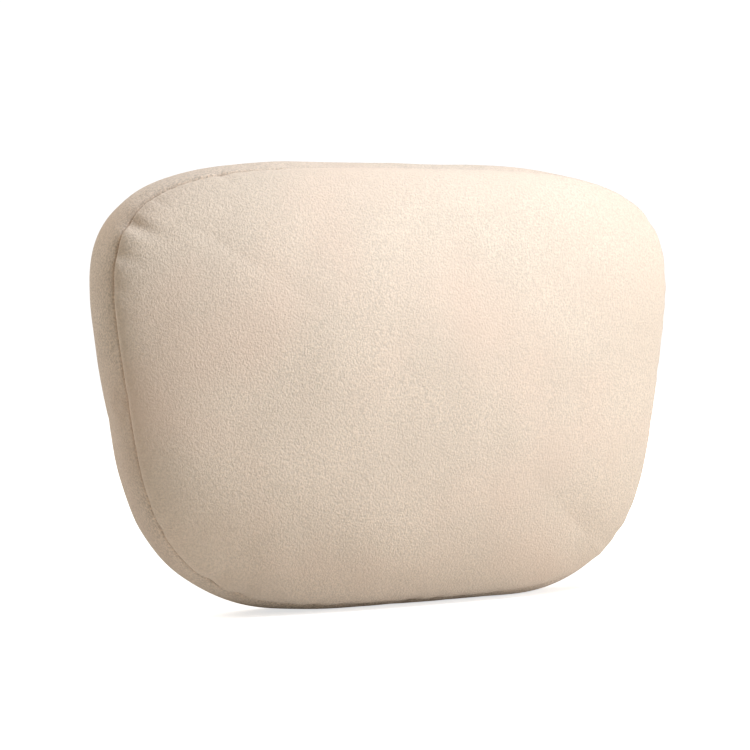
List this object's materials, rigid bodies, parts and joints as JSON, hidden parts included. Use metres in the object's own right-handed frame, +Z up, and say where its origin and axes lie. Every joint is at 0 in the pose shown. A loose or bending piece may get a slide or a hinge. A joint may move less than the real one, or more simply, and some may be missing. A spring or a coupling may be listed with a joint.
{
  "type": "headrest neck cushion",
  "caption": "Padded rounded-trapezoid headrest cushion with a zipped cover and an elastic buckle strap across the back.",
  "frame": {"origin": "centre of the overall box in X and Y, at the floor that the cushion stands on", "axes": "+Z up, -Y is the crowned front, +X is to the right as seen from the front"},
  "size_m": [0.3806, 0.1232, 0.2752],
  "materials": {
    "cover": "matte",
    "zip_tape": "matte",
    "zip_coil": "satin",
    "zip_metal": "satin",
    "label": "matte",
    "webbing": "matte",
    "buckle_plastic": "satin",
    "case": "matte",
    "filling": "matte"
  },
  "bodies": {
    "cushion": {"front_panel": "cover", "side_band": "cover", "back_panel_upper": "cover", "back_panel_lower": "cover", "zip_tape_upper": "zip_tape", "zip_tape_lower": "zip_tape", "zip_coil_upper": "zip_coil", "zip_coil_lower": "zip_coil", "zip_end_stops": "zip_metal", "care_label": "label", "strap_left": "webbing", "strap_right": "webbing", "buckle_female": "buckle_plastic", "inner_case_front": "case", "inner_case_back": "case", "fibre_filling": "filling"},
    "slider": {"zip_slider": "zip_metal"},
    "pull": {"zip_pull": "zip_metal"},
    "male_half": {"buckle_male": "buckle_plastic", "strap_loop": "webbing", "strap_return": "webbing"},
    "arm_upper": {"buckle_arm_upper": "buckle_plastic"},
    "arm_lower": {"buckle_arm_lower": "buckle_plastic"},
    "adjuster": {"strap_adjuster": "buckle_plastic", "strap_sewn_end": "webbing"}
  },
  "joints": [
    {"name": "zip_slide", "type": "slide", "parent": "cushion", "child": "slider", "axis": [-1, 0, 0], "range_m": [0, 0.2]},
    {"name": "pull_swing", "type": "hinge", "parent": "slider", "child": "pull", "pos_m": [0.1025, 0.0409, 0.0752], "axis": [0, 0, -1], "range_deg": [0, 180]},
    {"name": "buckle_release", "type": "slide", "parent": "cushion", "child": "male_half", "axis": [1, 0, 0], "range_m": [0, 0.03], "deforming": ["strap_right"]},
    {"name": "arm_upper_squeeze", "type": "hinge", "parent": "male_half", "child": "arm_upper", "pos_m": [0.0042, 0.0566, 0.1762], "axis": [0, -1, 0], "range_deg": [0, 8], "stiffness_Nm_per_rad": 0.02},
    {"name": "arm_lower_squeeze", "type": "hinge", "parent": "male_half", "child": "arm_lower", "pos_m": [0.0042, 0.0566, 0.1582], "axis": [0, 1, 0], "range_deg": [0, 8], "stiffness_Nm_per_rad": 0.02},
    {"name": "adjuster_slide", "type": "slide", "parent": "male_half", "child": "adjuster", "axis": [-1, 0, 0], "range_m": [0, 0.04], "deforming": ["strap_return"]}
  ],
  "couplings": [
    {"joint": "arm_lower_squeeze", "follows": "arm_upper_squeeze", "ratio": 1}
  ]
}
